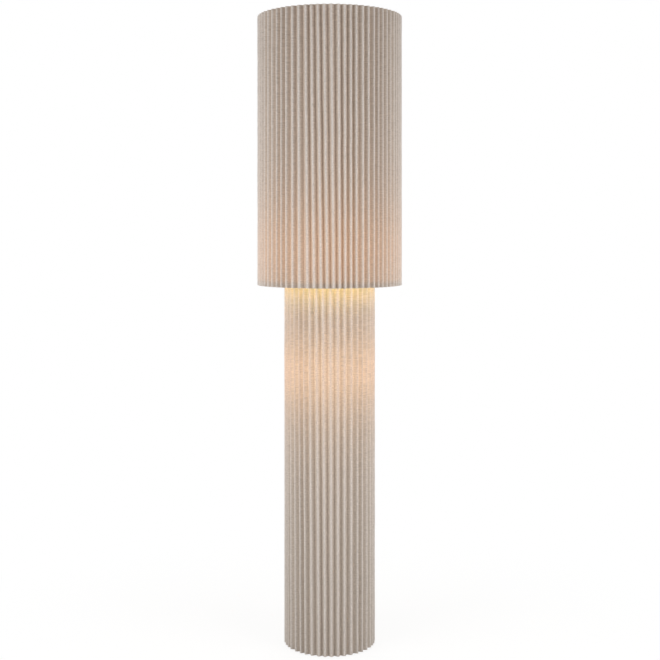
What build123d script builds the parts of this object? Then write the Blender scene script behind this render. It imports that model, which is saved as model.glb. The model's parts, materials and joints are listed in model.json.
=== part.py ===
from build123d import *
import math
import os

# A free-standing floor lamp, in millimetres.
# The origin is on the floor, on the lamp's upright axis. +Z is up, and the flex leaves at the back, +Y.
# Every thread is modelled as a smooth cylinder.

# Whole lamp
total_height = 1575.0

# Pleated linen, the same cloth on shade and column
cloth_thickness = 0.8
fold_depth = 10.5            # from ridge to valley, before the corners are rounded
ridge_rounding = 2.6
valley_rounding = 0.8
pitch_wander = 0.08          # how far a fold strays, as a share of the pitch
stray_waves = (13, 31)       # waves of that straying, once round the cloth
widest_fold = 1.3            # the widest pleat, as a share of the pitch
soft_gap = 0.3               # between the cloth and what is behind it

# Drum shade
shade_radius = 181.9         # over the rounded ridges
shade_bottom = 900.0
shade_folds = 70
shade_first_ridge = -88.8    # degrees from +X, so nearly facing the front
shade_drift = (-3.5, -0.5)   # degrees that the folds crowd and spread, once and twice round

# Column
column_radius = 114.3
column_bottom = 2.5
column_top = 915.0
column_folds = 42
column_first_ridge = -89.1
column_drift = (2.6, 1.6)

# Liners and wire frames
liner_thickness = 0.7
glue_gap = 0.1
hoop_thickness = 1.3
hoop_height = 10.0
hoop_inset = 2.0             # from the cut edge of the cloth
foot_band_height = 20.0
foot_band_inset = 1.5
strut_inset = 1.0            # from a hoop's outer edge
shade_strut_radius = 1.75
column_strut_radius = 1.5
strut_angles = (45, 135, 225, 315)
spider_rod_radius = 2.5
spider_angles = (30, 150, 270)
spider_bend_radius = 14.0
spider_hub_radius = 18.0
weld_depth = 4.0             # a rod's end inside the hub's rim

# Base, all heights from the floor
felt_radius = 96.0
felt_thickness = 3.0
weight_radius = 98.0
weight_top = 33.0
weight_edge = 4.0
recess_radius = 22.0
recess_top = 24.0
block_corner = 1.5
block_play = 1.0             # round the terminal block in its pocket
cord_height = 8.5            # of the flex above the floor
cord_channel_width = 9.0
block_size = (20.0, 14.0, 10.0)
block_distance = 65.0        # from the axis to the terminal block's middle
nipple_radius = 5.0
nipple_bore = 3.5
nipple_bottom = 14.5
nipple_top = 38.0
nut_height = 7.0
nut_across_flats = 17.0
lock_washer_radius = 9.5
lock_washer_thickness = 1.5
lock_washer_teeth = 12
lock_washer_notch = (2.4, 1.2)
flange_radius = 32.0
flange_thickness = 4.0
flange_neck_radius = 14.0
flange_top = 57.0
flange_foot_fillet = 3.0
edge_break = 1.0             # chamfer on turned edges
seat_thickness = 1.0         # the flange's floor, over the nipple
set_screw_rise = 2.0         # above the middle of the flange's neck
set_screw_radius = 2.0
set_screw_hole = 2.05

# Pole
lower_pole_radius = 9.5
lower_pole_bore = 7.5
upper_pole_radius = 6.35
upper_pole_bore = 5.0
slip_gap = 0.05
lead_radius = 2.25
lead_bend = 10.0

# Lamp clusters, measured down from the height of each pair's light
lower_light = 689.0
upper_light = 967.0
light_offset = 30.0          # sideways from the axis to each lamp
arm_drop = 110.0             # from the light down to the cluster's arms
arm_radius = 6.0
arm_bore = 3.0
hub_half_height = 18.0
lower_hub_radius = 14.0
upper_hub_radius = 12.0
pole_socket_depth = 12.0
hub_chamfer = 1.2
nipple_reach = 2.0           # of the arm's nipple below the holder's shell
cup_drop = 96.0
cup_radius = 13.5
cup_height = 18.0
cup_wall = 0.9
cup_corner = 2.0
shell_radius = 12.5
shell_drop = 88.0
shell_top_drop = 38.0
shell_floor = 4.0
shell_hole = 1.5             # for the contact's wire
screw_radius = 8.0
screw_bottom_drop = 66.0
screw_top_drop = 40.0
screw_wall = 0.9

# Candle lamps
cap_radius = 6.95
cap_bottom_drop = 62.0
cap_top_drop = 35.0
cap_wall = 0.5
cap_floor = 2.0
contact_radius = 2.5
contact_height = 2.6
running_gap = 0.08
glass_radius = 17.5
glass_wall = 0.8
glass_neck_radius = 6.2
glass_neck_drop = 44.0
glass_widest_drop = 2.0
glass_tip_rise = 43.0
glass_tip_radius = 4.0
glass_tip_angle = 64.0       # how much of the tip is a ball, from the axis down

# Top of the column
column_hub_height = 828.0
spider_hub_thickness = 4.0
collar_radius = 13.0
collar_height = 14.0

# Switch, on a tab behind the column's top edge
switch_height = 932.0
tab_width = 22.0
tab_thickness = 2.0
tab_top = 944.0
tab_corner = 8.0
switch_size = (24.0, 18.0, 24.0)
switch_corner = 3.0
switch_bore_depth = 10.0
switch_neck_radius = 4.0
switch_neck_length = 8.0
switch_nut_across_flats = 12.0
switch_nut_height = 2.5
shaft_radius = 3.0
shaft_play = 0.5             # between the shaft's end and the bore's floor
knob_radius = 10.0
knob_length = 12.0
knob_gap = 0.6               # from the switch's neck
knob_face = 3.0              # solid front of the knob
knob_corner = 1.5
knob_grooves = 18
knob_groove_radius = 0.9
knob_pointer = (1.2, 1.0, 6.0)
switch_lead_radius = 1.75
switch_lead_bend = 12.0

# Top of the shade
hub_recess = 35.0            # from the shade's top edge down to the spider's hub
stud_radius = 3.0
stud_length = 20.0           # above the bush's flange
stud_flange_radius = 11.0
stud_flange_height = 4.0
stud_plug_length = 16.0
stud_tip = 0.8
bush_radius = 6.0
bush_flange_radius = 9.0
bush_flange_height = 2.0
bush_short = 0.4             # the bush ends this far below the hub's top, so the washer bears on the hub
washer_radius = 9.0
washer_thickness = 1.5
finial_height = 24.5
finial_radius = 9.0
finial_bore_depth = 18.0

# Cord bushing, through the foot at the back
bushing_radius = 5.5
bushing_bore = 3.6
bushing_flange_radius = 7.5
bushing_flange_thickness = 2.4
bushing_play = 0.4
notch_gap = 0.3
notch_corner = 2.4           # cut off the notch's upper corners, still behind the flange


def cylinder(radius, bottom, top, x=0, y=0):
    """Upright cylinder between two heights."""
    return Pos(x, y, (bottom + top) / 2) * Cylinder(radius, top - bottom)


def tube(outer, bore, bottom, top, x=0, y=0):
    """Upright tube between two heights."""
    return cylinder(outer, bottom, top, x, y) - cylinder(bore, bottom, top, x, y)


def lying_cylinder(radius, near, far, height):
    """Cylinder along +Y, from one distance behind the axis to another."""
    return Pos(0, (near + far) / 2, height) * Rot(90, 0, 0) * Cylinder(radius, far - near)


def hexagon(across_flats, bore, bottom, top):
    """Upright hexagon nut."""
    outline = RegularPolygon(across_flats / 2, 6, major_radius=False)
    return Pos(0, 0, bottom) * extrude(outline - Circle(bore), top - bottom)


def turned(*points):
    """Solid turned about the axis from (radius, height) points."""
    outline = make_face(Polyline(*points, close=True))
    return revolve(Plane.XZ * outline, Axis.Z)


def around(angle, distance):
    """Point at an angle and a distance from the axis."""
    return Vector(math.cos(math.radians(angle)), math.sin(math.radians(angle))) * distance


def rounded_outline(corners):
    """Closed outline of lines and arcs through (point, rounding) corners."""
    starts, middles, ends = [], [], []
    for number, (point, rounding) in enumerate(corners):
        back = (corners[number - 1][0] - point).normalized()
        ahead = (corners[(number + 1) % len(corners)][0] - point).normalized()
        half_angle = math.radians(back.get_angle(ahead)) / 2
        reach = rounding / math.tan(half_angle)
        inward = (back + ahead).normalized()
        starts.append(point + back * reach)
        middles.append(point + inward * (rounding / math.sin(half_angle) - rounding))
        ends.append(point + ahead * reach)
    edges = []
    for number in range(len(corners)):
        edges.append(Line(ends[number - 1], starts[number]))
        edges.append(ThreePointArc(starts[number], middles[number], ends[number]))
    return make_face(edges)


def ridge_angle(number, folds, first_ridge, drift):
    """Direction of a ridge. The folds stray and drift a little, as hand-set pleats do."""
    turn = 2 * math.pi * number / folds
    stray = pitch_wander * (math.sin(stray_waves[0] * turn) + 0.6 * math.sin(stray_waves[1] * turn))
    slow = drift[0] * (1 - math.cos(turn)) + drift[1] * math.sin(2 * turn)
    return first_ridge + (number + stray) * 360 / folds + slow


def flank_angle(radius, folds, width=1.0):
    """Angle between a flank and the way out from the axis, for a pleat this many pitches wide."""
    half_pitch = width * math.pi * (radius - fold_depth / 2) / folds
    return math.atan(half_pitch / fold_depth)


def pleat_face(radius, folds, first_ridge, drift, inset):
    """One side of the cloth: 0 inset is outside, and the cloth's thickness is inside."""
    slope = math.sin(flank_angle(radius, folds))
    ridge = radius + ridge_rounding * (1 / slope - 1) - inset / slope
    corners = []
    for number in range(folds):
        here = ridge_angle(number, folds, first_ridge, drift)
        after = ridge_angle(number + 1, folds, first_ridge, drift)
        corners.append((around(here, ridge), ridge_rounding - inset))
        corners.append((around((here + after) / 2, ridge - fold_depth), valley_rounding + inset))
    return rounded_outline(corners)


def valley_inside(radius, folds):
    """Least radius of the cloth, inside a valley."""
    slope = math.sin(flank_angle(radius, folds))
    ridge = radius + ridge_rounding * (1 / slope - 1)
    sharp_valley = ridge - fold_depth - cloth_thickness / slope
    widest_slope = math.sin(flank_angle(radius, folds, widest_fold))
    return sharp_valley + (valley_rounding + cloth_thickness) * (1 / widest_slope - 1)


def pleated_cloth(radius, folds, first_ridge, drift, bottom, top):
    """Closed ring of accordion pleats with its edges cut square."""
    outside = pleat_face(radius, folds, first_ridge, drift, 0)
    inside = pleat_face(radius, folds, first_ridge, drift, cloth_thickness)
    return Pos(0, 0, bottom) * extrude(outside - inside, top - bottom)


def struts(distance, radius, bottom, top):
    """Four upright wires of a frame."""
    wires = []
    for angle in strut_angles:
        spot = around(angle, distance)
        wires.append(cylinder(radius, bottom, top, spot.X, spot.Y))
    return Compound(wires)


def spider(hub_height, hub_bore, rod_distance, rod_top):
    """Ring with three rods welded to it, each bent up along the hoop."""
    hub_bottom = hub_height - spider_hub_thickness / 2
    whole = tube(spider_hub_radius, hub_bore, hub_bottom, hub_bottom + spider_hub_thickness)
    for angle in spider_angles:
        start = around(angle, spider_hub_radius - weld_depth)
        corner = around(angle, rod_distance)
        route = FilletPolyline(
            (start.X, start.Y, hub_height),
            (corner.X, corner.Y, hub_height),
            (corner.X, corner.Y, rod_top),
            radius=spider_bend_radius,
        )
        section = Plane(origin=route @ 0, z_dir=route % 0) * Circle(spider_rod_radius)
        whole += sweep(section, route)
    return whole


def bushing_notch():
    """Cut for the cord bushing: straight sides and cut corners, open at the cloth's lower edge."""
    half = bushing_radius + notch_gap
    crown = cord_height + half
    start = (weight_radius + column_hoop_inside) / 2
    reach = column_radius + bushing_flange_thickness
    outline = make_face(Polyline((-half, 0), (-half, crown - notch_corner), (notch_corner - half, crown),
                                 (half - notch_corner, crown), (half, crown - notch_corner),
                                 (half, 0), close=True))
    return Pos(0, reach, 0) * extrude(Plane.XZ * outline, reach - start)


def lead(points, bends, radius):
    """Wire of straight runs joined by arcs."""
    route = FilletPolyline(*points, radius=bends)
    section = Plane(origin=route @ 0, z_dir=route % 0) * Circle(radius)
    wire = sweep(section, route)
    print("lead", round(route.length, 1), "mm long, volume ratio",
          round(wire.volume / (math.pi * radius**2 * route.length), 4))
    return wire


# Radii that follow from the cloth
shade_liner_radius = valley_inside(shade_radius, shade_folds) - soft_gap
column_liner_radius = valley_inside(column_radius, column_folds) - soft_gap
shade_hoop_radius = shade_liner_radius - liner_thickness - glue_gap
column_hoop_radius = column_liner_radius - liner_thickness - glue_gap
shade_hoop_inside = shade_hoop_radius - hoop_thickness
column_hoop_inside = column_hoop_radius - hoop_thickness
hub_height = total_height - hub_recess
nipple_hole = nipple_radius + slip_gap
plug_bottom = nipple_top + seat_thickness
neck_middle = (plug_bottom + flange_top) / 2 + set_screw_rise
collar_middle = column_hub_height - spider_hub_thickness / 2 - collar_height / 2


def make_base():
    """Weight, felt and what fastens the pole to it."""
    weight = cylinder(weight_radius, felt_thickness, weight_top)
    weight = fillet(weight.edges().group_by(Axis.Z)[-1], weight_edge)
    weight -= cylinder(recess_radius, felt_thickness, recess_top)
    weight -= cylinder(nipple_radius + 2 * slip_gap, recess_top, weight_top)
    channel_top = 2 * cord_height - felt_thickness
    channel = Box(cord_channel_width, weight_radius, channel_top - felt_thickness)
    weight -= Pos(0, weight_radius / 2, cord_height) * channel
    pocket = Box(block_size[0] + block_play, block_size[1] + block_play, 2 * (block_size[2] + block_play))
    weight -= Pos(0, block_distance, felt_thickness) * pocket
    lock_top = recess_top
    lock_bottom = lock_top - lock_washer_thickness
    plate_top = weight_top + flange_thickness
    flange = turned(
        (nipple_hole, weight_top),
        (flange_radius, weight_top),
        (flange_radius, plate_top - edge_break),
        (flange_radius - edge_break, plate_top),
        (flange_neck_radius + flange_foot_fillet, plate_top),
        (flange_neck_radius, plate_top + flange_foot_fillet),
        (flange_neck_radius, flange_top - edge_break),
        (flange_neck_radius - edge_break, flange_top),
        (lower_pole_radius + slip_gap, flange_top),
        (lower_pole_radius + slip_gap, plug_bottom),
        (nipple_hole, plug_bottom),
    )
    flange -= lying_cylinder(set_screw_hole, -flange_radius, flange_radius, neck_middle)
    block = Box(*block_size)
    block = fillet(block.edges().filter_by(Axis.Z), block_corner)
    return {
        "base_weight": weight,
        "base_felt": cylinder(felt_radius, 0, felt_thickness),
        "base_nipple": tube(nipple_radius, nipple_bore, nipple_bottom, nipple_top),
        "base_nut": hexagon(nut_across_flats, nipple_hole, lock_bottom - nut_height, lock_bottom),
        "base_lock_washer": lock_washer(nipple_hole, lock_bottom, lock_top),
        "pole_flange": flange,
        "terminal_block": Pos(0, block_distance, cord_height) * block,
    }


def lock_washer(bore, bottom, top):
    """Washer with teeth round its rim."""
    outline = Circle(lock_washer_radius) - Circle(bore)
    for number in range(lock_washer_teeth):
        angle = 360 * number / lock_washer_teeth
        spot = around(angle, lock_washer_radius)
        outline -= Pos(spot.X, spot.Y) * Rot(0, 0, angle) * Rectangle(*lock_washer_notch)
    return Pos(0, 0, bottom) * extrude(outline, top - bottom)


def make_pole():
    """The tubes from the base up to the shade's stud."""
    lower_hub = lower_light - arm_drop
    upper_hub = upper_light - arm_drop
    riser_top = hub_height - spider_hub_thickness / 2 - bush_flange_height - stud_flange_height
    return {
        "lower_pole": tube(
            lower_pole_radius, lower_pole_bore, plug_bottom,
            lower_hub - hub_half_height + pole_socket_depth,
        ),
        "middle_pole": tube(
            upper_pole_radius, upper_pole_bore,
            lower_hub + hub_half_height - pole_socket_depth,
            upper_hub - hub_half_height + pole_socket_depth,
        ),
        "riser": tube(
            upper_pole_radius, upper_pole_bore,
            upper_hub + hub_half_height - pole_socket_depth, riser_top,
        ),
        "shade_stud": make_stud(riser_top),
        "supply_lead": lead(
            [
                (0, block_distance - block_size[1] / 2, cord_height),
                (0, 0, cord_height),
                (0, 0, upper_hub),
            ],
            lead_bend,
            lead_radius,
        ),
    }


def make_stud(riser_top):
    """Plug in the riser's top, with a shoulder and the stud for the finial."""
    shoulder = riser_top + stud_flange_height
    stud_top = shoulder + bush_flange_height + stud_length
    return turned(
        (0, riser_top - stud_plug_length),
        (upper_pole_bore - slip_gap, riser_top - stud_plug_length),
        (upper_pole_bore - slip_gap, riser_top),
        (stud_flange_radius, riser_top),
        (stud_flange_radius, shoulder - edge_break),
        (stud_flange_radius - edge_break, shoulder),
        (stud_radius, shoulder),
        (stud_radius, stud_top - stud_tip),
        (stud_radius - stud_tip, stud_top),
        (0, stud_top),
    )


def make_cluster(light, hub_radius, lower_bore):
    """Body that joins two tubes and carries a lamp holder on each side."""
    hub = light - arm_drop
    body = cylinder(hub_radius, hub - hub_half_height, hub + hub_half_height)
    body = chamfer(body.edges().filter_by(GeomType.CIRCLE), hub_chamfer)
    arms = Pos(0, 0, hub) * Rot(0, 90, 0) * Cylinder(arm_radius, 2 * light_offset)
    passages = Pos(0, 0, hub) * Rot(0, 90, 0) * Cylinder(arm_bore, 2 * light_offset)
    nipple_end = light - shell_drop - nipple_reach
    for side in (-light_offset, light_offset):
        arms += Pos(side, 0, hub) * Sphere(arm_radius)
        arms += cylinder(arm_radius, hub, light - cup_drop, side)
        arms += cylinder(nipple_radius, hub, nipple_end, side)
        passages += cylinder(arm_bore, hub, nipple_end, side)
    body += arms
    body -= passages
    body -= cylinder(nipple_bore, hub - hub_half_height, hub + hub_half_height)
    body -= cylinder(lower_bore + slip_gap, hub - hub_half_height,
                     hub - hub_half_height + pole_socket_depth)
    body -= cylinder(upper_pole_radius + slip_gap, hub + hub_half_height - pole_socket_depth,
                     hub + hub_half_height)
    return body


def make_holder(light, side):
    """Cup, insulating shell and brass screw shell of one lamp holder."""
    place = Pos(side, 0, light)
    cup = turned(
        (nipple_radius + slip_gap, -cup_drop),
        (cup_radius - cup_corner, -cup_drop),
        (cup_radius, -cup_drop + cup_corner),
        (cup_radius, -cup_drop + cup_height),
        (cup_radius - cup_wall, -cup_drop + cup_height),
        (cup_radius - cup_wall, -cup_drop + cup_corner + cup_wall / 2),
        (cup_radius - cup_corner - cup_wall / 2, -cup_drop + cup_wall),
        (nipple_radius + slip_gap, -cup_drop + cup_wall),
    )
    floor_bottom = -screw_bottom_drop - shell_floor
    shell = turned(
        (shell_radius - cup_corner, -shell_drop),
        (shell_radius, -shell_drop),
        (shell_radius, -shell_top_drop - edge_break),
        (shell_radius - edge_break, -shell_top_drop),
        (screw_radius + slip_gap, -shell_top_drop),
        (screw_radius + slip_gap, -screw_bottom_drop),
        (shell_hole, -screw_bottom_drop),
        (shell_hole, floor_bottom),
        (shell_radius - cup_corner, floor_bottom),
    )
    thread = turned(
        (shell_hole, -screw_bottom_drop),
        (screw_radius, -screw_bottom_drop),
        (screw_radius, -screw_top_drop),
        (cap_radius + running_gap, -screw_top_drop),
        (cap_radius + running_gap, -screw_bottom_drop + screw_wall),
        (shell_hole, -screw_bottom_drop + screw_wall),
    )
    return place * cup, place * shell, place * thread


def glass_outline(inset):
    """Half outline of a candle-shaped glass, smaller by the inset and longer by it at the open neck."""
    neck = glass_neck_radius - inset
    widest = glass_radius - inset
    tip_middle = glass_tip_rise - glass_tip_radius
    lower = -glass_neck_drop - inset
    flare = -cap_top_drop
    wide = -glass_widest_drop

    def on_tip(angle):
        turn = math.radians(angle)
        reach = glass_tip_radius - inset
        return (reach * math.sin(turn), tip_middle + reach * math.cos(turn))

    lines = Line((0, lower), (neck, lower))
    lines += Line((neck, lower), (neck, flare))
    lines += ThreePointArc((neck, flare), (0.87 * widest, (flare + wide) / 2 + 1), (widest, wide))
    lines += ThreePointArc((widest, wide), (0.78 * widest, 0.54 * tip_middle), on_tip(glass_tip_angle))
    lines += ThreePointArc(on_tip(glass_tip_angle), on_tip(glass_tip_angle / 2), on_tip(0))
    lines += Line(on_tip(0), (0, lower))
    return make_face(lines)


def make_bulb(light, side):
    """Opal glass envelope and brass cap of one candle lamp."""
    place = Pos(side, 0, light)
    glass = revolve(Plane.XZ * glass_outline(0), Axis.Z)
    glass -= revolve(Plane.XZ * glass_outline(glass_wall), Axis.Z)
    cap = turned(
        (0, -cap_bottom_drop - contact_height),
        (contact_radius, -cap_bottom_drop - contact_height),
        (contact_radius, -cap_bottom_drop),
        (cap_radius - edge_break, -cap_bottom_drop),
        (cap_radius, -cap_bottom_drop + edge_break),
        (cap_radius, -cap_top_drop),
        (cap_radius - cap_wall, -cap_top_drop),
        (cap_radius - cap_wall, -cap_bottom_drop + cap_floor),
        (0, -cap_bottom_drop + cap_floor),
    )
    return place * glass, place * cap


def make_lights():
    """Both clusters with their holders and lamps."""
    pieces = {
        "lower_cluster": make_cluster(lower_light, lower_hub_radius, lower_pole_radius),
        "upper_cluster": make_cluster(upper_light, upper_hub_radius, upper_pole_radius),
    }
    for level, light in (("lower", lower_light), ("upper", upper_light)):
        for hand, side in (("left", -light_offset), ("right", light_offset)):
            cup, shell, thread = make_holder(light, side)
            glass, cap = make_bulb(light, side)
            pieces[f"{level}_socket_cup_{hand}"] = cup
            pieces[f"{level}_socket_shell_{hand}"] = shell
            pieces[f"{level}_screw_shell_{hand}"] = thread
            pieces[f"{level}_bulb_glass_{hand}"] = glass
            pieces[f"{level}_bulb_cap_{hand}"] = cap
    return pieces


def make_column():
    """Pleated column with its liner and wire frame, hung from the pole."""
    notch = bushing_notch()
    cloth = pleated_cloth(
        column_radius, column_folds, column_first_ridge, column_drift, column_bottom, column_top
    )
    liner = tube(column_liner_radius, column_liner_radius - liner_thickness, column_bottom, column_top)
    hoop_top = column_top - hoop_inset
    band_bottom = column_bottom + foot_band_inset
    strut_distance = column_hoop_inside - column_strut_radius - slip_gap
    rod_distance = column_hoop_inside - spider_rod_radius - slip_gap
    hub_bottom = column_hub_height - spider_hub_thickness / 2
    collar = tube(collar_radius, upper_pole_radius + slip_gap, hub_bottom - collar_height, hub_bottom)
    collar = chamfer(collar.edges().filter_by(GeomType.CIRCLE).group_by(SortBy.RADIUS)[-1], edge_break)
    collar -= lying_cylinder(set_screw_hole, -collar_radius, -upper_pole_radius, collar_middle)
    return {
        "column_pleats": cloth - notch,
        "column_liner": liner - notch,
        "column_top_hoop": tube(column_hoop_radius, column_hoop_inside, hoop_top - hoop_height, hoop_top),
        "column_foot_band": tube(
            column_hoop_radius, column_hoop_inside, band_bottom, band_bottom + foot_band_height
        ) - notch,
        "column_struts": struts(
            strut_distance, column_strut_radius, band_bottom + strut_inset, hoop_top - strut_inset
        ),
        "column_spider": spider(
            column_hub_height, upper_pole_radius + slip_gap, rod_distance, hoop_top - strut_inset
        ),
        "clamp_collar": collar,
    }


def make_set_screws():
    """Grub screws: two in the flange's neck and one in the collar."""
    near = lower_pole_radius + slip_gap
    far = flange_neck_radius - slip_gap
    collar_near = upper_pole_radius + slip_gap
    collar_far = collar_radius - slip_gap
    return Compound([
        lying_cylinder(set_screw_radius, -far, -near, neck_middle),
        lying_cylinder(set_screw_radius, near, far, neck_middle),
        lying_cylinder(set_screw_radius, -collar_far, -collar_near, collar_middle),
    ])


def make_bushing():
    """Flanged sleeve that the flex comes in through."""
    inner_face = column_hoop_inside - bushing_play
    outer_face = column_radius + bushing_play
    sleeve = lying_cylinder(bushing_radius, inner_face - bushing_flange_thickness,
                            outer_face + bushing_flange_thickness, cord_height)
    inner_flange = lying_cylinder(bushing_flange_radius, inner_face - bushing_flange_thickness,
                                  inner_face, cord_height)
    outer_flange = lying_cylinder(bushing_flange_radius, outer_face,
                                  outer_face + bushing_flange_thickness, cord_height)
    bore = lying_cylinder(bushing_bore, 0, 2 * outer_face, cord_height)
    return sleeve + inner_flange + outer_flange - bore


def make_switch():
    """Rotary switch on a tab at the back of the column's top hoop."""
    hoop_top = column_top - hoop_inset
    tab_back = math.sqrt(column_hoop_inside**2 - (tab_width / 2) ** 2) - slip_gap
    tab_front = tab_back - tab_thickness
    tab_bottom = hoop_top - hoop_height
    tab_middle = Pos(0, (tab_front + tab_back) / 2, (tab_bottom + tab_top) / 2)
    tab = tab_middle * Box(tab_width, tab_thickness, tab_top - tab_bottom)
    tab = fillet(tab.edges().filter_by(Axis.Y).group_by(Axis.Z)[-1], tab_corner)
    tab -= lying_cylinder(switch_neck_radius + slip_gap, tab_front, tab_back, switch_height)
    body = Pos(0, tab_front - switch_size[1] / 2, switch_height) * Box(*switch_size)
    body = fillet(body.edges().filter_by(Axis.Y), switch_corner)
    neck_end = tab_front + switch_neck_length
    bore_floor = tab_front - switch_bore_depth
    body += lying_cylinder(switch_neck_radius, tab_front, neck_end, switch_height)
    body -= lying_cylinder(shaft_radius + running_gap, bore_floor, neck_end, switch_height)
    nut = hexagon(switch_nut_across_flats, switch_neck_radius + slip_gap, 0, switch_nut_height)
    knob_start = neck_end + knob_gap
    knob_end = knob_start + knob_length
    shaft_end = knob_end - knob_face
    shaft = lying_cylinder(shaft_radius, bore_floor + shaft_play, shaft_end, switch_height)
    knob = lying_cylinder(knob_radius, knob_start, knob_end, switch_height)
    knob = fillet(knob.edges().group_by(Axis.Y)[-1], knob_corner)
    groove = lying_cylinder(knob_groove_radius, knob_start, knob_end, 0)
    for number in range(knob_grooves):
        spot = around(360 * (number + 0.5) / knob_grooves, knob_radius + knob_groove_radius / 2)
        knob -= Pos(spot.X, 0, switch_height + spot.Y) * groove
    knob += Pos(0, knob_end, switch_height + knob_radius / 2) * Box(*knob_pointer)
    knob -= lying_cylinder(shaft_radius, knob_start, shaft_end, switch_height)
    hub = upper_light - arm_drop
    lead_end = tab_front - switch_size[1]
    return {
        "switch_bracket": tab,
        "switch_body": body,
        "switch_nut": Pos(0, tab_back, switch_height) * Rot(-90, 0, 0) * nut,
        "switch_shaft": shaft,
        "switch_knob": knob,
        "switch_lead": lead(
            [
                (0, upper_hub_radius, hub),
                (0, 0.6 * lead_end, hub),
                (0, 0.8 * lead_end, switch_height),
                (0, lead_end, switch_height),
            ],
            switch_lead_bend,
            switch_lead_radius,
        ),
    }


def make_shade():
    """Pleated drum with its liner and wire frame."""
    hoop_top = total_height - hoop_inset
    hoop_bottom = shade_bottom + hoop_inset
    strut_distance = shade_hoop_inside - shade_strut_radius - slip_gap
    rod_distance = shade_hoop_inside - spider_rod_radius - slip_gap
    return {
        "shade_pleats": pleated_cloth(
            shade_radius, shade_folds, shade_first_ridge, shade_drift, shade_bottom, total_height
        ),
        "shade_liner": tube(
            shade_liner_radius, shade_liner_radius - liner_thickness, shade_bottom, total_height
        ),
        "shade_top_hoop": tube(shade_hoop_radius, shade_hoop_inside, hoop_top - hoop_height, hoop_top),
        "shade_bottom_hoop": tube(
            shade_hoop_radius, shade_hoop_inside, hoop_bottom, hoop_bottom + hoop_height
        ),
        "shade_struts": struts(
            strut_distance, shade_strut_radius, hoop_bottom + strut_inset, hoop_top - strut_inset
        ),
        "shade_spider": spider(
            hub_height, bush_radius + running_gap, rod_distance, hoop_top - strut_inset
        ),
    }


def make_fastening():
    """Bush, washer and finial that hold the shade on its stud."""
    hub_bottom = hub_height - spider_hub_thickness / 2
    hub_top = hub_height + spider_hub_thickness / 2
    bush = turned(
        (stud_radius + slip_gap, hub_bottom - bush_flange_height),
        (bush_flange_radius, hub_bottom - bush_flange_height),
        (bush_flange_radius, hub_bottom),
        (bush_radius, hub_bottom),
        (bush_radius, hub_top - bush_short),
        (stud_radius + slip_gap, hub_top - bush_short),
    )
    finial_bottom = hub_top + washer_thickness
    finial = turned(
        (stud_radius + slip_gap, finial_bottom),
        (0.72 * finial_radius, finial_bottom),
        (0.72 * finial_radius, finial_bottom + 3),
        (0.5 * finial_radius, finial_bottom + 5),
        (0.5 * finial_radius, finial_bottom + 7),
        (0.86 * finial_radius, finial_bottom + 10),
        (finial_radius, finial_bottom + 14),
        (0.9 * finial_radius, finial_bottom + 19),
        (0.6 * finial_radius, finial_bottom + 23),
        (0.3 * finial_radius, finial_bottom + finial_height),
        (0, finial_bottom + finial_height),
        (0, finial_bottom + finial_bore_depth),
        (stud_radius + slip_gap, finial_bottom + finial_bore_depth),
    )
    return {
        "shade_bush": bush,
        "finial_washer": tube(washer_radius, stud_radius + 0.3, hub_top, finial_bottom),
        "finial": finial,
    }


pieces = make_base()
pieces |= make_pole()
pieces |= make_lights()
pieces |= make_column()
pieces |= make_shade()
pieces |= make_fastening()
pieces |= make_switch()
pieces["set_screws"] = make_set_screws()
pieces["cord_bushing"] = make_bushing()

os.makedirs("parts", exist_ok=True)
for name, piece in pieces.items():
    export_step(piece, f"parts/{name}.step")
print(len(pieces), "pieces written")
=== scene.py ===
import bmesh
import bpy
import json
import math
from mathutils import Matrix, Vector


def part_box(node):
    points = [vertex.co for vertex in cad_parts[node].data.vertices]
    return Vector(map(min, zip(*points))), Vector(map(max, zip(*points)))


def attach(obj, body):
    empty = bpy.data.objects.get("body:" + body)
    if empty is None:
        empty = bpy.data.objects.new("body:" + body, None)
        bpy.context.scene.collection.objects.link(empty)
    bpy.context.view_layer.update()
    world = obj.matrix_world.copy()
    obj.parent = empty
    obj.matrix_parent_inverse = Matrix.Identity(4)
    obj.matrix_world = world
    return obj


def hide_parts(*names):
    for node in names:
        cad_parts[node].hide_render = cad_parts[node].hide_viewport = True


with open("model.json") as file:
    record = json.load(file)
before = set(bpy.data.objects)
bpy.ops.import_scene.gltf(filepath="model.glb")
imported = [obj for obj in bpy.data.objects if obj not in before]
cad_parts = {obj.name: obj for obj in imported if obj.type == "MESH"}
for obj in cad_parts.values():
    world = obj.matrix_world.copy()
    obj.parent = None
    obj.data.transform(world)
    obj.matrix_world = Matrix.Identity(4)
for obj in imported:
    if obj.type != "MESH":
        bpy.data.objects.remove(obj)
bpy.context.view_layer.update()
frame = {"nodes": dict(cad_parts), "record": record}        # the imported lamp, in metres, origin on the floor on the lamp's axis
nodes = frame["nodes"]
print("frame loaded,", len(nodes), "nodes")


# Camera: level, at chest height, with the lens shifted down as in the photograph

cameraSettings = {
    "place": (0.0010, -2.8746, 1.0490),
    "lens": 62.07,           # mm, on a 36 mm sensor
    "shiftDown": 0.158,
}


def placeCamera(spec):
    view = bpy.data.cameras.new("camera")
    view.lens = spec["lens"]
    view.sensor_width = 36
    view.shift_y = -spec["shiftDown"]
    holder = bpy.data.objects.new("camera", view)
    holder.location = spec["place"]
    holder.rotation_euler = (math.radians(90), 0, 0)
    bpy.context.scene.collection.objects.link(holder)
    bpy.context.scene.camera = holder


placeCamera(cameraSettings)
bpy.context.scene.view_settings.view_transform = "Standard"
print("camera placed")


# Small helpers for materials

def colour(code):
    # sRGB hex to the linear numbers that a shader takes
    parts = [int(code[i:i + 2], 16) / 255 for i in (1, 3, 5)]
    return tuple(p / 12.92 if p <= 0.04045 else ((p + 0.055) / 1.055) ** 2.4 for p in parts) + (1.0,)


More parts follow.
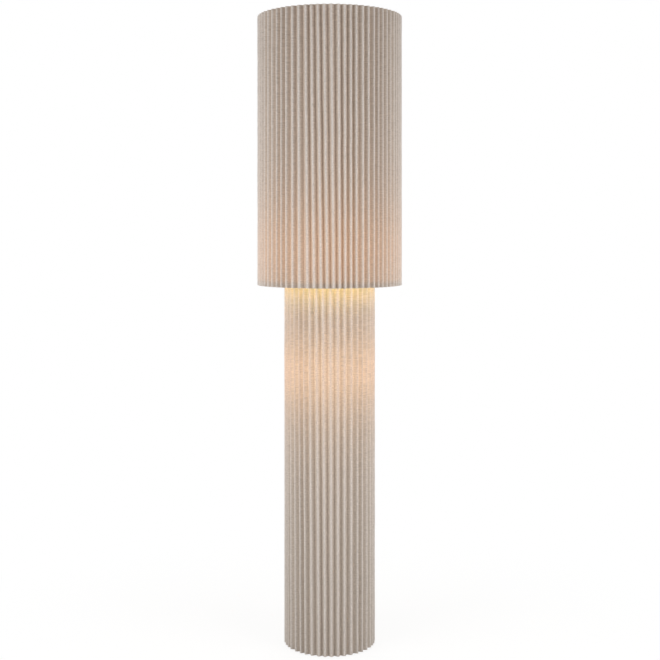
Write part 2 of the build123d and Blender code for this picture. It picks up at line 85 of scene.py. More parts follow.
def add(tree, kind, settings=None, links=None):
    # settings name a property or an input socket, links name an input socket and what feeds it
    new = tree.nodes.new(kind)
    for name, value in (settings or {}).items():
        if isinstance(name, int) or name in new.inputs:
            new.inputs[name].default_value = value
        else:
            setattr(new, name, value)
    for name, source in (links or {}).items():
        tree.links.new(source, new.inputs[name])
    return new


def startMaterial(name, **settings):
    material = bpy.data.materials.new(name)
    material.use_nodes = True
    shader = material.node_tree.nodes["Principled BSDF"]
    for socket, value in settings.items():
        shader.inputs[socket.replace("_", " ")].default_value = value
    return material, material.node_tree, shader


# Natural linen: plain weave of uneven flax thread. It gives a dull warm grey-beige with slubs and flecks.

linenLook = {
    "thread": "#D2C9C2",
    "lightThread": "#E9E1DA",
    "slubRange": (1.05, 1.95),   # of the two slub noises together, from dark thread to light
    "fleck": "#A89C8E",
    "ridgeBand": (0.45, 1.0),   # where the cloth turns from flank to ridge, as a share of the fold's depth
    "threadSpacing": 1.2,    # mm, drawn twice as coarse as the real 0.6 mm so that it shows
    "weftSlub": (9.0, 2.4),  # mm across the folds and up the cloth, thicker than real slubs so that they show
    "warpSlub": (2.2, 16.0),
    "fleckSize": 2.6,        # mm, drawn coarser than the real 1 mm so that it shows
    "fleckRange": (0.5, 0.72),
    "flecked": 0.6,          # how far the darkest fleck goes to its own colour
    "roughness": 0.92,
    "sheen": 0.12,
    "bump": 0.00018,         # m
    "wavePeriod": 3.2,       # a wave texture of scale 1 has this many bands to the unit
    "openness": (0.85, 1.15),    # how much light dark and light thread let through
    "fullLight": 2.0,        # of the lamps' light in front of them, where the thread looks warmest
    "caught": (1.35, 0.6),   # how much of the spilled light valley and ridge catch
}


def linenMaterial(name, foldShadeTint, glow):
    look = linenLook
    material, tree, shader = startMaterial(name, Roughness=look["roughness"], Sheen_Weight=look["sheen"],
                                           Sheen_Roughness=0.5, IOR=1.5, Emission_Strength=1.0)
    cloth = add(tree, "ShaderNodeUVMap", {"uv_map": "cloth"})
    inMm = add(tree, "ShaderNodeVectorMath", {"operation": "SCALE", "Scale": 1000.0},
               {0: cloth.outputs["UV"]})
    slubs = []
    for size in (look["weftSlub"], look["warpSlub"]):
        stretched = add(tree, "ShaderNodeMapping", {"Scale": (1 / size[0], 1 / size[1], 1.0)},
                        {"Vector": inMm.outputs[0]})
        slubs.append(add(tree, "ShaderNodeTexNoise", {"Scale": 1.0, "Detail": 2.0, "Roughness": 0.5},
                         {"Vector": stretched.outputs[0]}))
    both = add(tree, "ShaderNodeMath", {"operation": "MULTIPLY_ADD", 1: 2.0},
               {0: slubs[0].outputs[0], 2: slubs[1].outputs[0]})
    tone = add(tree, "ShaderNodeMapRange",
               {"From Min": look["slubRange"][0], "From Max": look["slubRange"][1]},
               {"Value": both.outputs[0]})
    thread = add(tree, "ShaderNodeMix", {"data_type": "RGBA", 6: colour(look["thread"]),
                                         7: colour(look["lightThread"])}, {0: tone.outputs[0]})
    flecks = add(tree, "ShaderNodeTexNoise",
                 {"Scale": 1 / look["fleckSize"], "Detail": 4.0, "Roughness": 0.75},
                 {"Vector": inMm.outputs[0]})
    flecked = add(tree, "ShaderNodeMapRange",
                  {"From Min": look["fleckRange"][0], "From Max": look["fleckRange"][1],
                   "To Max": look["flecked"]}, {"Value": flecks.outputs[0]})
    cloud = add(tree, "ShaderNodeMix", {"data_type": "RGBA", 7: colour(look["fleck"])},
                {0: flecked.outputs[0], 6: thread.outputs[2]})
    # Painted shade: the folds' flanks and valleys are darkened, and their ridges kept pale, from the crest
    # attribute
    depth = add(tree, "ShaderNodeAttribute", {"attribute_name": "crest"})
    crest = add(tree, "ShaderNodeMapRange",
                {"From Min": look["ridgeBand"][0], "From Max": look["ridgeBand"][1],
                 "interpolation_type": "SMOOTHSTEP"}, {"Value": depth.outputs["Fac"]})
    foldShadeMix = add(tree, "ShaderNodeMix", {"data_type": "RGBA", 6: colour(foldShadeTint), 7: (1, 1, 1, 1)},
               {0: crest.outputs[0]})
    shadedCloth = add(tree, "ShaderNodeMix", {"data_type": "RGBA", "blend_type": "MULTIPLY", 0: 1.0},
                {6: cloud.outputs[2], 7: foldShadeMix.outputs[2]})
    # Over and under of warp and weft
    ways = []
    for direction in ("X", "Y"):
        ways.append(add(tree, "ShaderNodeTexWave",
                        {"bands_direction": direction, "Distortion": 0.6, "Detail": 1.0, "Detail Scale": 0.4,
                         "Scale": 1 / (look["threadSpacing"] * look["wavePeriod"])},
                        {"Vector": inMm.outputs[0]}))
    weave = add(tree, "ShaderNodeMath", {"operation": "MULTIPLY"},
                {0: ways[0].outputs["Fac"], 1: ways[1].outputs["Fac"]})
    height = add(tree, "ShaderNodeMath", {"operation": "ADD"}, {0: weave.outputs[0], 1: tone.outputs[0]})
    bump = add(tree, "ShaderNodeBump", {"Strength": 1.0, "Distance": look["bump"]},
               {"Height": height.outputs[0]})
    tree.links.new(bump.outputs[0], shader.inputs["Normal"])
    # The light inside, seen through the cloth: it fades with the distance from each of the two lamps
    place = add(tree, "ShaderNodeTexCoord")
    lamps = []
    for side in (-glow["lampOffset"], glow["lampOffset"]):
        away = add(tree, "ShaderNodeVectorMath", {"operation": "DISTANCE", 1: (side, 0.0, glow["height"])},
                   {0: place.outputs["Object"]})
        share = add(tree, "ShaderNodeMath", {"operation": "DIVIDE", 1: glow["distance"]},
                    {0: away.outputs["Value"]})
        lamps.append(add(tree, "ShaderNodeMath", {"operation": "POWER", 1: -glow["falloff"]},
                         {0: share.outputs[0]}))
    lit = add(tree, "ShaderNodeMath", {"operation": "ADD"}, {0: lamps[0].outputs[0], 1: lamps[1].outputs[0]})
    axes = add(tree, "ShaderNodeSeparateXYZ", {}, {0: place.outputs["Object"]})
    # The hoops block it at the cloth's two ends
    inside = []
    for hoop, blur in zip(glow["hoops"], (glow["hoopBlur"], -glow["hoopBlur"])):
        inside.append(add(tree, "ShaderNodeMapRange",
                          {"From Min": hoop - blur, "From Max": hoop + blur,
                           "interpolation_type": "SMOOTHSTEP"}, {"Value": axes.outputs["Z"]}))
    between = add(tree, "ShaderNodeMath", {"operation": "MULTIPLY"},
                  {0: inside[0].outputs[0], 1: inside[1].outputs[0]})
    masked = add(tree, "ShaderNodeMath", {"operation": "MULTIPLY"},
                 {0: lit.outputs[0], 1: between.outputs[0]})
    # Where the light comes through strongest, painted warm light tints the thread's colour
    strong = add(tree, "ShaderNodeMapRange", {"From Max": look["fullLight"]}, {"Value": masked.outputs[0]})
    warm = add(tree, "ShaderNodeMix", {"data_type": "RGBA", 6: (1, 1, 1, 1), 7: glow["throughLightTint"]},
               {0: strong.outputs[0]})
    warmed = add(tree, "ShaderNodeMix", {"data_type": "RGBA", "blend_type": "MULTIPLY", 0: 1.0},
                 {6: shadedCloth.outputs[2], 7: warm.outputs[2]})
    tree.links.new(warmed.outputs[2], shader.inputs["Base Color"])
    # Loose weave lets more through, and so do the valleys, which lie nearer to the lamps
    loose = add(tree, "ShaderNodeMapRange", {"To Min": look["openness"][0], "To Max": look["openness"][1]},
                {"Value": tone.outputs[0]})
    near = add(tree, "ShaderNodeMix", {"data_type": "RGBA", 6: glow["valley"], 7: glow["ridge"]},
               {0: crest.outputs[0]})
    patchy = add(tree, "ShaderNodeMath", {"operation": "MULTIPLY"},
                 {0: masked.outputs[0], 1: loose.outputs[0]})
    through = add(tree, "ShaderNodeVectorMath", {"operation": "SCALE"},
                  {0: near.outputs[2], "Scale": patchy.outputs[0]})
    # Light of the other lamps that falls on the cloth from the open end beside it
    up = add(tree, "ShaderNodeMapRange", {"From Min": glow["spillFrom"] - glow["spillReach"],
                                          "From Max": glow["spillFrom"]}, {"Value": axes.outputs["Z"]})
    soft = add(tree, "ShaderNodeMath", {"operation": "POWER", 1: 2.0}, {0: up.outputs[0]})
    caught = add(tree, "ShaderNodeMapRange", {"To Min": look["caught"][0], "To Max": look["caught"][1]},
                 {"Value": crest.outputs[0]})
    fallen = add(tree, "ShaderNodeMath", {"operation": "MULTIPLY"},
                 {0: soft.outputs[0], 1: caught.outputs[0]})
    spill = add(tree, "ShaderNodeVectorMath", {"operation": "SCALE", 0: glow["spill"]},
                {"Scale": fallen.outputs[0]})
    total = add(tree, "ShaderNodeVectorMath", {"operation": "ADD"},
                {0: through.outputs[0], 1: spill.outputs[0]})
    tree.links.new(total.outputs[0], shader.inputs["Emission Color"])
    return material


# Pleated linen: one strip of cloth in accordion folds, its ends lapped on one flank at the back.
# Lengths are in metres.

cloth = {
    "thickness": 0.0008,
    "foldDepth": 0.0105,
    "ridgeRounding": 0.0026,
    "valleyRounding": 0.0008,
    "ridgeSteps": 6,
    "valleySteps": 4,
    "stray": 0.08,           # of a pitch, how far a ridge stands from its even place
    "strayWaves": (13, 31),  # waves of it round the cloth
    "rows": 44,              # faces up the cloth
    "lapGap": 0.0001,
    "ripple": 0.0010,
    "rippleLength": 0.07,
    "softAngle": 40,         # degrees, past which an edge of the cloth stays sharp
}

shadeCloth = {
    "name": "shade_linen", "node": "shade_pleats", "body": "shade",
    "folds": 70, "radius": 0.1819, "firstRidge": -88.8, "drift": (-3.5, -0.5),
    "lean": 2.6, "leanMiddle": -98.0, "leanWidth": 16.0, "leanPower": 2,   # degrees
    "restsOn": ["shade_liner", "shade_top_hoop", "shade_bottom_hoop"],
    "foldShadeTint": "#E3D8CE",  # painted shade and highlight: the flanks and valleys are darkened and the ridges kept pale, deepening the folds' shading
    "glow": {"lampOffset": 0.030, "height": 0.986, "distance": 0.1844, "falloff": 3.8,
             "ridge": (0.030, 0.0105, 0.004, 1.0), "valley": (0.065, 0.0295, 0.0114, 1.0),
             "throughLightTint": (1.0, 0.99, 0.97, 1.0),
             "hoops": (0.912, 1.563), "hoopBlur": 0.008,
             "spill": (0.0, 0.0, 0.0), "spillFrom": 0.9, "spillReach": 0.1},
}

columnCloth = {
    "name": "column_linen", "node": "column_pleats", "body": "stand",
    "folds": 42, "radius": 0.1143, "firstRidge": -89.1, "drift": (2.6, 1.6),
    "lean": 3.2, "leanMiddle": -123.0, "leanWidth": 36.0, "leanPower": 4,
    "restsOn": ["column_liner", "column_top_hoop", "column_foot_band"],
    # Painted shade in the flanks and valleys of the column's folds
    "foldShadeTint": "#E1DBD4",
    "glow": {"lampOffset": 0.024, "height": 0.689, "distance": 0.1168, "falloff": 2.4,
             "ridge": (0.070, 0.014, 0.0, 1.0), "valley": (0.143, 0.089, 0.056, 1.0),
             "throughLightTint": (1.0, 0.97, 0.88, 1.0),
             "hoops": (0.024, 0.909), "hoopBlur": 0.008,
             "spill": (0.275, 0.225, 0.055), "spillFrom": 0.905, "spillReach": 0.10},
}


def angleOf(point):
    return math.degrees(math.atan2(point.y, point.x))


def apart(one, other):
    # Smallest difference between two directions, in degrees
    return (one - other + 180) % 360 - 180


def pick(piece, kind, test):
    # Selects the vertices, edges or faces that pass the test, and nothing else
    bpy.ops.object.mode_set(mode="EDIT")
    bpy.ops.mesh.select_mode(type=kind)
    bpy.ops.mesh.select_all(action="DESELECT")
    mesh = bmesh.from_edit_mesh(piece.data)
    for part in {"VERT": mesh.verts, "EDGE": mesh.edges, "FACE": mesh.faces}[kind]:
        if test(part):
            part.select_set(True)
    mesh.select_flush_mode()
    bmesh.update_edit_mesh(piece.data)


def isUpright(edge):
    return abs(edge.verts[0].co.z - edge.verts[1].co.z) > 0.1


def applyModifiers(piece):
    for modifier in list(piece.modifiers):
        bpy.ops.object.modifier_apply(modifier=modifier.name)


def ridgeAngle(number, spec):
    turn = 2 * math.pi * number / spec["folds"]
    waves = cloth["strayWaves"]
    stray = cloth["stray"] * (math.sin(waves[0] * turn) + 0.6 * math.sin(waves[1] * turn))
    slow = spec["drift"][0] * (1 - math.cos(turn)) + spec["drift"][1] * math.sin(2 * turn)
    return spec["firstRidge"] + (number + stray) * 360 / spec["folds"] + slow


def layFlat(piece, seam):
    # UV map in metres of flat cloth: u across the folds from the seam, v up the cloth
    mesh = piece.data
    spots = [v.co for v in mesh.vertices]
    bottom = min(spot.z for spot in spots)
    ring = [i for i, spot in enumerate(spots) if spot.z < bottom + 0.001]
    ring.sort(key=lambda i: (angleOf(spots[i]) - seam) % 360)
    across, length = {ring[0]: 0.0}, 0.0
    for before, here in zip(ring, ring[1:]):
        length += (spots[here] - spots[before]).length
        across[here] = length
    length += (spots[ring[0]] - spots[ring[-1]]).length
    for edge in mesh.edges:
        low, high = sorted(edge.vertices, key=lambda i: spots[i].z)
        if low in across and spots[high].z > bottom + 0.001:
            across[high] = across[low]
    uv = mesh.uv_layers.new(name="cloth")
    for face in mesh.polygons:
        values = [across[i] for i in face.vertices]
        wraps = max(values) - min(values) > length / 2
        for loop, corner, value in zip(face.loop_indices, face.vertices, values):
            u = value + length if wraps and value < length / 2 else value
            uv.data[loop].uv = (u, spots[corner].z)
    return length


def makePleats(spec):
    low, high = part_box(spec["node"])
    folds, pitch = spec["folds"], 360 / spec["folds"]
    halfPitch = math.pi * (spec["radius"] - cloth["foldDepth"] / 2) / folds
    flank = math.atan(halfPitch / cloth["foldDepth"])
    ridge = spec["radius"] + cloth["ridgeRounding"] * (1 / math.sin(flank) - 1)
    valley = ridge - cloth["foldDepth"]
    bpy.ops.object.select_all(action="DESELECT")
    bpy.ops.mesh.primitive_circle_add(vertices=2 * folds, radius=ridge, location=(0, 0, low.z),
                                      rotation=(0, 0, math.radians(spec["firstRidge"] - 90)))
    piece = bpy.context.object
    piece.name = spec["name"]
    bpy.ops.object.transform_apply(location=True, rotation=True, scale=True)
    bpy.ops.object.mode_set(mode="EDIT")
    bpy.ops.mesh.select_all(action="SELECT")
    bpy.ops.mesh.extrude_region_move(TRANSFORM_OT_translate={"value": (0, 0, high.z - low.z)})
    # Every second upright edge goes in to a valley
    pick(piece, "VERT", lambda v: abs((apart(angleOf(v.co), spec["firstRidge"]) / pitch) % 1 - 0.5) < 0.25)
    bpy.ops.transform.resize(value=(valley / ridge, valley / ridge, 1), center_override=(0, 0, 0))
    # Each ridge goes to its own place, and each valley midway between two ridges
    for number in range(2 * folds):
        even = spec["firstRidge"] + number * pitch / 2
        before, after = math.floor(number / 2), math.ceil(number / 2)
        wanted = (ridgeAngle(before, spec) + ridgeAngle(after, spec)) / 2
        edge = ridge if number % 2 == 0 else valley
        pick(piece, "VERT", lambda v: abs(apart(angleOf(v.co), even)) < 0.05 * pitch
             and abs(v.co.xy.length - edge) < 0.0005)
        bpy.ops.transform.rotate(value=math.radians(even - wanted), orient_axis="Z",
                                 center_override=(0, 0, 0))
    for edge, rounding, steps in ((ridge, cloth["ridgeRounding"], cloth["ridgeSteps"]),
                                  (valley, cloth["valleyRounding"], cloth["valleySteps"])):
        pick(piece, "EDGE", lambda e: isUpright(e) and abs(e.verts[0].co.xy.length - edge) < 0.0002)
        bpy.ops.mesh.bevel(offset=rounding / math.tan(flank), offset_type="OFFSET", segments=steps,
                           profile=0.5, affect="EDGES")
    bpy.ops.mesh.select_all(action="SELECT")
    bpy.ops.mesh.normals_make_consistent(inside=False)
    bpy.ops.object.mode_set(mode="OBJECT")
    seam = (ridgeAngle(folds // 2, spec) + ridgeAngle(folds // 2 + 1, spec)) / 2
    length = layFlat(piece, seam)
    # The lapped end, outside the flank beside the seam
    pick(piece, "FACE", lambda f: 0 < apart(angleOf(f.calc_center_median()), seam) < 0.3 * pitch)
    bpy.ops.mesh.duplicate_move()
    bpy.ops.transform.shrink_fatten(value=cloth["thickness"] + cloth["lapGap"])
    pick(piece, "EDGE", isUpright)
    bpy.ops.mesh.subdivide(number_cuts=cloth["rows"] - 1)
    bpy.ops.object.mode_set(mode="OBJECT")
    crest = piece.data.attributes.new("crest", "FLOAT", "POINT")    # 0 in a valley, 1 on a ridge
    lowest, highest = valley + cloth["valleyRounding"] / 2, ridge - cloth["ridgeRounding"] / 2
    for vertex in piece.data.vertices:
        crest.data[vertex.index].value = (vertex.co.xy.length - lowest) / (highest - lowest)
    # Where it was pulled tight, the folds lean as they go down
    for vertex in piece.data.vertices:
        away = apart(angleOf(vertex.co), spec["leanMiddle"]) / spec["leanWidth"]
        down = (high.z - vertex.co.z) / (high.z - low.z)
        turn = math.radians(spec["lean"] * math.exp(-abs(away) ** spec["leanPower"]) * down)
        x, y = vertex.co.x, vertex.co.y
        vertex.co.x = x * math.cos(turn) - y * math.sin(turn)
        vertex.co.y = x * math.sin(turn) + y * math.cos(turn)
    for direction, size in (("X", 1.0), ("Y", 0.83)):
        clouds = bpy.data.textures.new(f"{spec['name']} ripple {direction}", "CLOUDS")
        clouds.noise_scale = cloth["rippleLength"] * size
        ripple = piece.modifiers.new("ripple", "DISPLACE")
        ripple.texture = clouds
        ripple.texture_coords = "LOCAL"
        ripple.direction = direction
        ripple.strength = cloth["ripple"]
    wall = piece.modifiers.new("thickness", "SOLIDIFY")
    wall.thickness = cloth["thickness"]
    wall.offset = -1
    applyModifiers(piece)
    bpy.ops.object.shade_smooth_by_angle(angle=math.radians(cloth["softAngle"]))
    piece.data.materials.append(linenMaterial(spec["name"], spec["foldShadeTint"], spec["glow"]))
    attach(piece, spec["body"])
    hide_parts(spec["node"])
    print(spec["name"], "made from", round(length, 3), "m of cloth,", len(piece.data.polygons), "faces")


makePleats(shadeCloth)
makePleats(columnCloth)


# Finishes of the pieces that come over from the CAD model. Sizes in mm, read from Object coordinates:
# "cloud" is the size of slow changes of tone, "grain" that of the surface marks along x, y and z.

finishes = {
    # Extruded polystyrene sheet: milky and satin, with faint die lines up the sheet, lit through by the lamps
    "diffuser": {"name": "styrene sheet", "colour": "#F4F0E9", "other": "#EBE6DC", "cloud": 70.0,
                 "grain": (1.8, 1.8, 240.0), "roughness": (0.36, 0.50), "bump": 0.02, "IOR": 1.59,
                 "light": (1.0, 0.74, 0.48, 1.0), "strength": 0.14},
    # Polyester powder coat on wire and strip: an even off-white with a fine orange peel
    "frame_steel": {"name": "white powder coat", "colour": "#E8E5DE", "other": "#DEDAD1", "cloud": 25.0,
                    "grain": (1.2, 1.2, 1.2), "roughness": (0.42, 0.58), "bump": 0.03, "IOR": 1.52},
    # Black enamel over sand-cast iron: near black, lumpy, with pits left by the sand
    "cast_weight": {"name": "enamelled cast iron", "colour": "#262523", "other": "#34322F", "cloud": 18.0,
                    "grain": (2.5, 2.5, 2.5), "roughness": (0.30, 0.62), "bump": 0.25, "IOR": 1.52,
                    "specks": "#121110", "speckSize": 3.0},
    # Pressed wool felt: matt charcoal with a tangle of paler hairs
    "felt": {"name": "pressed felt", "colour": "#2B2B2C", "other": "#3C3B3A", "cloud": 6.0,
             "grain": (0.9, 0.9, 0.9), "roughness": (0.90, 1.0), "bump": 0.30, "IOR": 1.5, "sheen": 0.4,
             "specks": "#6A6662", "speckSize": 1.6},
    # Bright zinc plate, clear passivated: cool grey metal with cloudy patches
    "plated_steel": {"name": "zinc plate", "colour": "#C9CACA", "other": "#B9BAB6", "cloud": 5.0,
                     "grain": (0.5, 0.5, 0.5), "roughness": (0.26, 0.44), "bump": 0.01, "metallic": 1.0},
    # Satin stoving enamel on drawn tube: warm white, with the tube's draw marks just showing
    "pole_steel": {"name": "satin enamel", "colour": "#DDD9D1", "other": "#D3CEC4", "cloud": 40.0,
                   "grain": (1.4, 1.4, 60.0), "roughness": (0.28, 0.40), "bump": 0.015, "IOR": 1.52},
    # Turned brass, satin lacquered: fine rings from the lathe and slightly darker patches
    "brass": {"name": "satin brass", "colour": "#D1A766", "other": "#BE9152", "cloud": 9.0,
              "grain": (60.0, 60.0, 0.35), "roughness": (0.22, 0.40), "bump": 0.012, "metallic": 1.0},
    # Compression-moulded phenolic: ivory with a faint flow mottle and a dull shine
    "phenolic": {"name": "ivory phenolic", "colour": "#E5DFCF", "other": "#D8D0BC", "cloud": 7.0,
                 "grain": (1.0, 1.0, 1.0), "roughness": (0.28, 0.42), "bump": 0.01, "IOR": 1.6},
    # Nickel plate on a spun cap: pale warm metal with spinning rings
    "nickel_cap": {"name": "nickel plate", "colour": "#D2CEC7", "other": "#C2BDB4", "cloud": 4.0,
                   "grain": (40.0, 40.0, 0.4), "roughness": (0.20, 0.36), "bump": 0.01, "metallic": 1.0},
    # Moulded natural nylon: waxy cream
    "nylon": {"name": "natural nylon", "colour": "#E9E5DA", "other": "#E0DACB", "cloud": 5.0,
              "grain": (0.8, 0.8, 0.8), "roughness": (0.38, 0.52), "bump": 0.012, "IOR": 1.53},
    # Moulded rubber: matt black with a grey bloom
    "rubber": {"name": "moulded rubber", "colour": "#1D1D1D", "other": "#2C2B2A", "cloud": 4.0,
               "grain": (0.7, 0.7, 0.7), "roughness": (0.60, 0.80), "bump": 0.02, "IOR": 1.52},
    # Extruded PVC sleeve: soft ivory with a slight shine
    "lead_sleeve": {"name": "PVC sleeve", "colour": "#E6E2D8", "other": "#DAD5C8", "cloud": 15.0,
                    "grain": (0.8, 0.8, 0.8), "roughness": (0.42, 0.55), "bump": 0.01, "IOR": 1.53},
}

finishRanges = {    # the parts of each noise's spread that are used
    "cloud": (0.38, 0.62),
    "speck": (0.60, 0.70),
    "grain": (0.35, 0.65),
}


def finishMaterial(look):
    cloud, speck, grainBand = (finishRanges[name] for name in ("cloud", "speck", "grain"))
    material, tree, shader = startMaterial(look["name"], Metallic=look.get("metallic", 0.0),
                                           IOR=look.get("IOR", 1.5), Sheen_Weight=look.get("sheen", 0.0),
                                           Emission_Strength=look.get("strength", 0.0))
    shader.inputs["Emission Color"].default_value = look.get("light", (1, 1, 1, 1))
    place = add(tree, "ShaderNodeTexCoord")
    inMm = add(tree, "ShaderNodeVectorMath", {"operation": "SCALE", "Scale": 1000.0},
               {0: place.outputs["Object"]})
    clouds = add(tree, "ShaderNodeTexNoise", {"Scale": 1 / look["cloud"], "Detail": 3.0, "Roughness": 0.6},
                 {"Vector": inMm.outputs[0]})
    patches = add(tree, "ShaderNodeMapRange", {"From Min": cloud[0], "From Max": cloud[1]},
                  {"Value": clouds.outputs[0]})
    tone = add(tree, "ShaderNodeMix",
               {"data_type": "RGBA", 6: colour(look["colour"]), 7: colour(look["other"])},
               {0: patches.outputs[0]})
    stretched = add(tree, "ShaderNodeMapping", {"Scale": tuple(1 / size for size in look["grain"])},
                    {"Vector": inMm.outputs[0]})
    grain = add(tree, "ShaderNodeTexNoise", {"Scale": 1.0, "Detail": 3.0, "Roughness": 0.55},
                {"Vector": stretched.outputs[0]})
    if "specks" in look:
        spots = add(tree, "ShaderNodeTexNoise", {"Scale": 1 / look["speckSize"], "Detail": 2.0},
                    {"Vector": inMm.outputs[0]})
        few = add(tree, "ShaderNodeMapRange", {"From Min": speck[0], "From Max": speck[1]},
                  {"Value": spots.outputs[0]})
        tone = add(tree, "ShaderNodeMix", {"data_type": "RGBA", 7: colour(look["specks"])},
                   {0: few.outputs[0], 6: tone.outputs[2]})
    tree.links.new(tone.outputs[2], shader.inputs["Base Color"])
    rough = add(tree, "ShaderNodeMapRange",
                {"From Min": grainBand[0], "From Max": grainBand[1],
                 "To Min": look["roughness"][0], "To Max": look["roughness"][1]}, {"Value": grain.outputs[0]})
    tree.links.new(rough.outputs[0], shader.inputs["Roughness"])
    bump = add(tree, "ShaderNodeBump", {"Distance": look["bump"] / 1000}, {"Height": grain.outputs[0]})
    tree.links.new(bump.outputs[0], shader.inputs["Normal"])
    return material


# Opal glass, lit: milk-white glass with a smooth shine, brightest round the filament and dimmer at the cap

lampLook = {
    "glass": "#F6EFE2",
    "light": (1.0, 0.56, 0.22, 1.0),
    "strength": (9.0, 18.0),     # at the ends and at the filament
    "reach": (0.012, 0.045),     # m from the filament, over which it fades
    "coatCloud": 6.0,            # mm, unevenness of the white coat
    "coat": (0.85, 1.15),        # share of the light that thick and thin coat let through
    "roughness": (0.12, 0.22),
}


def lampMaterial(name, filament):
    look = lampLook
    material, tree, shader = startMaterial(name, IOR=1.52)
    shader.inputs["Base Color"].default_value = colour(look["glass"])
    shader.inputs["Emission Color"].default_value = look["light"]
    place = add(tree, "ShaderNodeTexCoord")
    away = add(tree, "ShaderNodeVectorMath", {"operation": "DISTANCE", 1: filament},
               {0: place.outputs["Object"]})
    bright = add(tree, "ShaderNodeMapRange",
                 {"From Min": look["reach"][0], "From Max": look["reach"][1],
                  "To Min": look["strength"][1], "To Max": look["strength"][0],
                  "interpolation_type": "SMOOTHSTEP"}, {"Value": away.outputs["Value"]})
    inMm = add(tree, "ShaderNodeVectorMath", {"operation": "SCALE", "Scale": 1000.0},
               {0: place.outputs["Object"]})
    coat = add(tree, "ShaderNodeTexNoise", {"Scale": 1 / look["coatCloud"], "Detail": 2.0},
               {"Vector": inMm.outputs[0]})
    uneven = add(tree, "ShaderNodeMapRange", {"To Min": look["coat"][0], "To Max": look["coat"][1]},
                 {"Value": coat.outputs[0]})
    light = add(tree, "ShaderNodeMath", {"operation": "MULTIPLY"},
                {0: bright.outputs[0], 1: uneven.outputs[0]})
    tree.links.new(light.outputs[0], shader.inputs["Emission Strength"])
    smooth = add(tree, "ShaderNodeMapRange",
                 {"To Min": look["roughness"][0], "To Max": look["roughness"][1]}, {"Value": coat.outputs[0]})
    tree.links.new(smooth.outputs[0], shader.inputs["Roughness"])
    return material


materials = {slot: finishMaterial(look) for slot, look in finishes.items()}
for part in frame["record"]["subparts"]:
    node = part["node"]
    material = materials.get(part["material_slot"])
    if part["material_slot"] == "opal_glass":
        low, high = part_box(node)
        material = lampMaterial(node, ((low.x + high.x) / 2, (low.y + high.y) / 2, (low.z + high.z) / 2))
    if material:
        for holder in nodes[node].material_slots:
            holder.material = material
print("CAD nodes dressed")


# Turned and bent pieces that are seen close up: a merged and smoothly shaded copy stands for each

smoothed = {    # degrees past which an edge stays sharp
    "finial": 30, "finial_washer": 30, "shade_bush": 30, "shade_stud": 30, "riser": 30, "shade_spider": 35,
    "shade_top_hoop": 35, "shade_bottom_hoop": 35, "column_top_hoop": 35, "switch_knob": 25,
    "cord_bushing": 30,
}


def smoothCopy(node, angle):
    bodies = frame["record"]["behaviour"]["bodies"]
    body = next(name for name, members in bodies.items() if node in members)
    bpy.ops.object.select_all(action="DESELECT")
    piece = bpy.data.objects.new(node + "_smooth", nodes[node].data.copy())
    bpy.context.scene.collection.objects.link(piece)
    piece.select_set(True)
    bpy.context.view_layer.objects.active = piece
    bpy.ops.object.mode_set(mode="EDIT")
    bpy.ops.mesh.select_all(action="SELECT")
    bpy.ops.mesh.remove_doubles(threshold=0.00001)
    bpy.ops.object.mode_set(mode="OBJECT")
    bpy.ops.object.shade_smooth_by_angle(angle=math.radians(angle))
    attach(piece, body)
    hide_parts(node)


for node, angle in smoothed.items():
    smoothCopy(node, angle)
print(len(smoothed), "pieces smoothed")


# Floor, world and studio light

studio = {
    "floorSize": 40.0,
    "floorColour": "#BCBAB7",
    "shadow": 0.30,          # share of real light in the floor's look beside the foot
    "shadowReach": (0.15, 1.1),   # m from the axis, over which that share goes to nothing
    "floorLight": 0.42,      # what the studio light gives on the floor away from the lamp
    "ambient": 0.38,
    "strips": [
        {"name": "left strip", "angle": -52, "distance": 1.6, "height": 0.94, "size": (1.1, 1.2),
         "power": 15.5},
        {"name": "right strip", "angle": 52, "distance": 1.6, "height": 0.88, "size": (1.1, 1.2),
         "power": 15.0},
        {"name": "back strip", "angle": 180, "distance": 1.8, "height": 0.95, "size": (1.6, 1.4),
         "power": 14},
    ],
}


def seenDirectly(tree):
    # 1 for the rays that see the background: by eye, in metal or through glass
    rays = add(tree, "ShaderNodeLightPath")
    some = add(tree, "ShaderNodeMath", {"operation": "MAXIMUM"},
               {0: rays.outputs["Is Camera Ray"], 1: rays.outputs["Is Glossy Ray"]})
    return add(tree, "ShaderNodeMath", {"operation": "MAXIMUM"},
               {0: some.outputs[0], 1: rays.outputs["Is Transmission Ray"]})


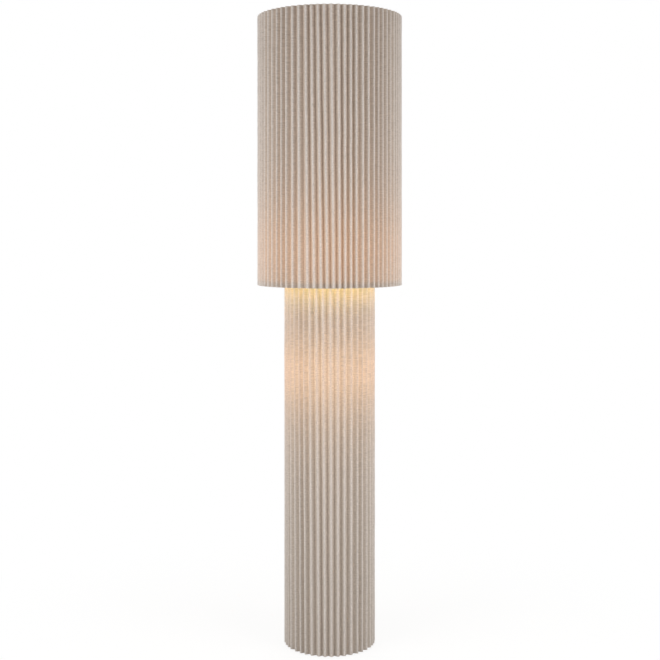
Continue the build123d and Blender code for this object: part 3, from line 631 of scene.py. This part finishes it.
def makeFloor(spec):
    # White paper. Near the foot it takes part of its look from real light, so that the lamp's shadow shows
    bpy.ops.object.select_all(action="DESELECT")
    bpy.ops.mesh.primitive_plane_add(size=spec["floorSize"])
    floor = bpy.context.object
    floor.name = "floor"
    material = bpy.data.materials.new("floor paper")
    material.use_nodes = True
    tree = material.node_tree
    tree.nodes.remove(tree.nodes["Principled BSDF"])
    place = add(tree, "ShaderNodeTexCoord")
    away = add(tree, "ShaderNodeVectorMath", {"operation": "LENGTH"}, {0: place.outputs["Object"]})
    share = add(tree, "ShaderNodeMapRange",
                {"From Min": spec["shadowReach"][0], "From Max": spec["shadowReach"][1],
                 "To Min": spec["shadow"], "To Max": 0.0,
                 "interpolation_type": "SMOOTHSTEP"}, {"Value": away.outputs["Value"]})
    seen = seenDirectly(tree)
    paper = add(tree, "ShaderNodeBsdfDiffuse", {"Color": colour(spec["floorColour"])})
    white = add(tree, "ShaderNodeMath", {"operation": "MULTIPLY_ADD", 1: -spec["floorLight"], 2: 1.0},
                {0: share.outputs[0]})
    glow = add(tree, "ShaderNodeEmission", {}, {"Strength": white.outputs[0]})
    bare = add(tree, "ShaderNodeBsdfDiffuse", {"Color": (0, 0, 0, 1)})
    lit = add(tree, "ShaderNodeMixShader", {},
              {0: share.outputs[0], 1: bare.outputs[0], 2: paper.outputs[0]})
    shown = add(tree, "ShaderNodeAddShader", {}, {0: glow.outputs[0], 1: lit.outputs[0]})
    mixed = add(tree, "ShaderNodeMixShader", {},
                {0: seen.outputs[0], 1: paper.outputs[0], 2: shown.outputs[0]})
    tree.links.new(mixed.outputs[0], tree.nodes["Material Output"].inputs["Surface"])
    floor.data.materials.append(material)


def lightStudio(spec):
    world = bpy.data.worlds.new("studio")
    bpy.context.scene.world = world
    world.use_nodes = True
    tree = world.node_tree
    back = tree.nodes["Background"]
    level = add(tree, "ShaderNodeMapRange", {"To Min": spec["ambient"], "To Max": 1.0},
                {"Value": seenDirectly(tree).outputs[0]})
    back.inputs["Color"].default_value = (1, 1, 1, 1)
    tree.links.new(level.outputs[0], back.inputs["Strength"])
    for strip in spec["strips"]:
        light = bpy.data.lights.new(strip["name"], "AREA")
        light.shape = "RECTANGLE"
        light.size, light.size_y = strip["size"]
        light.energy = strip["power"]
        lamp = bpy.data.objects.new(strip["name"], light)
        turn = math.radians(strip["angle"])
        lamp.location = (strip["distance"] * math.sin(turn), -strip["distance"] * math.cos(turn),
                         strip["height"])
        lamp.rotation_euler = (math.radians(90), 0, turn)
        lamp.visible_camera = False
        bpy.context.scene.collection.objects.link(lamp)


makeFloor(studio)
lightStudio(studio)
print("studio built")
